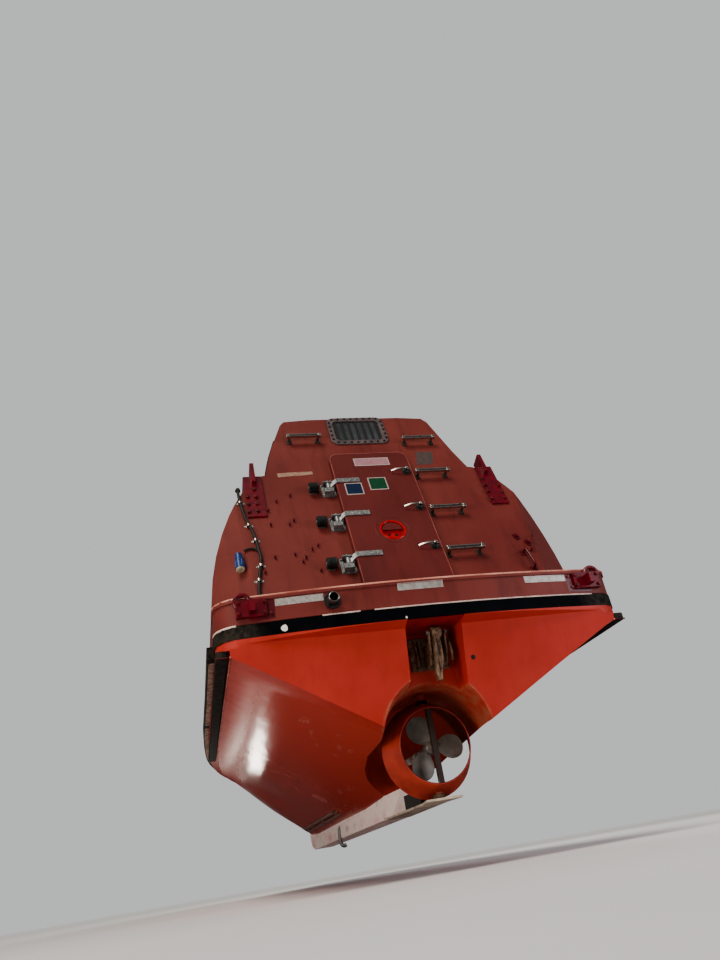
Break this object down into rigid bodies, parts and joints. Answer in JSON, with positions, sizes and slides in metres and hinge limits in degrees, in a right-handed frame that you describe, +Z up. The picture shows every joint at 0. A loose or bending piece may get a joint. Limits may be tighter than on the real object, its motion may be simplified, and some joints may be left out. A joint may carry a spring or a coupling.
{
  "type": "enclosed lifeboat",
  "caption": "Enclosed free-fall lifeboat with a raised helm tower, hinged aft door, roof hatch, keel and a propeller in a steerable nozzle.",
  "frame": {"origin": "amidships on the centreline, at the level of the light waterline", "axes": "+X towards the bow, +Y to port, +Z up"},
  "size_m": [6.6624, 2.5442, 2.8932],
  "materials": {
    "hull_gelcoat": "red-orange gelcoat on glass fibre, sun-worn and scuffed",
    "canopy_gelcoat": "faded red-orange gelcoat on glass fibre",
    "keel_paint": "pale worn keel face",
    "plate_steel": "painted steel with rust at the edges",
    "black_rubber": "black fender rubber, greyed by weather",
    "grey_frame": "grey painted window frame with a ring of bolts",
    "window_glass": "dark window pane",
    "galvanised_steel": "dull galvanised steel",
    "stainless_steel": "brushed stainless bar",
    "crimson_paint": "crimson painted steel",
    "weathered_steel": "galvanised steel gone rusty tan",
    "propeller_bronze": "dark antifouled propeller",
    "engine_grey": "grey engine paint",
    "cabin_lining": "cream moulded lining"
  },
  "bodies": {
    "root": {"hull_shell": "hull_gelcoat", "keel": "keel_paint", "sole_plate": "plate_steel", "launch_skid_port": "black_rubber", "launch_skid_starboard": "black_rubber", "fender_stern": "black_rubber", "fender_port": "black_rubber", "fender_starboard": "black_rubber", "canopy_shell": "canopy_gelcoat", "stern_coaming": "canopy_gelcoat", "aft_deck": "canopy_gelcoat", "aft_window_frame": "grey_frame", "aft_window_pane": "window_glass", "tower_window_port": "window_glass", "tower_window_starboard": "window_glass", "tower_window_front": "window_glass", "door_hinge_block_1": "galvanised_steel", "door_hinge_block_2": "galvanised_steel", "door_hinge_block_3": "galvanised_steel", "door_stop_1": "black_rubber", "door_stop_2": "black_rubber", "door_stop_3": "black_rubber", "rung_1": "stainless_steel", "rung_2": "stainless_steel", "rung_3": "stainless_steel", "rung_4": "stainless_steel", "rung_5": "stainless_steel", "lifting_bracket_aft_port": "crimson_paint", "lifting_bracket_aft_starboard": "crimson_paint", "lifting_bracket_forward_port": "crimson_paint", "lifting_bracket_forward_starboard": "crimson_paint", "towing_fitting_port": "crimson_paint", "towing_fitting_starboard": "crimson_paint", "exhaust_pipe": "galvanised_steel", "release_hook_base": "weathered_steel", "propeller_shaft": "plate_steel", "cabin_floor": "cabin_lining", "engine": "engine_grey", "seats_port": "cabin_lining", "seats_starboard": "cabin_lining"},
    "door": {"aft_door": "canopy_gelcoat", "door_hinge_arm_1": "galvanised_steel", "door_hinge_arm_2": "galvanised_steel", "door_hinge_arm_3": "galvanised_steel", "door_dog_1": "galvanised_steel", "door_dog_2": "galvanised_steel", "door_dog_3": "galvanised_steel"},
    "hook": {"release_hook": "weathered_steel"},
    "nozzle": {"steering_nozzle": "hull_gelcoat"},
    "screw": {"propeller": "propeller_bronze"},
    "hatch": {"roof_hatch_lid": "canopy_gelcoat"}
  },
  "joints": [
    {"name": "aft_door_swing", "type": "hinge", "parent": "root", "child": "door", "pos_m": [-2.92199, 0.354, 0.51252], "axis": [-0.3387, 0, -0.9409], "range_deg": [0, 120]},
    {"name": "release_hook_swing", "type": "hinge", "parent": "root", "child": "hook", "pos_m": [-3.11, -0.035, 0.088], "axis": [0, 1, 0], "range_deg": [0, 60]},
    {"name": "nozzle_steer", "type": "hinge", "parent": "root", "child": "nozzle", "pos_m": [-2.69, 0, -0.485], "axis": [0, 0, 1], "range_deg": [-30, 30]},
    {"name": "propeller_spin", "type": "hinge", "parent": "root", "child": "screw", "pos_m": [-2.7, 0, -0.485], "axis": [1, 0, 0], "continuous": true},
    {"name": "roof_hatch_swing", "type": "hinge", "parent": "root", "child": "hatch", "pos_m": [-0.006, 0, 1.567], "axis": [0, -1, 0], "range_deg": [0, 115]}
  ]
}
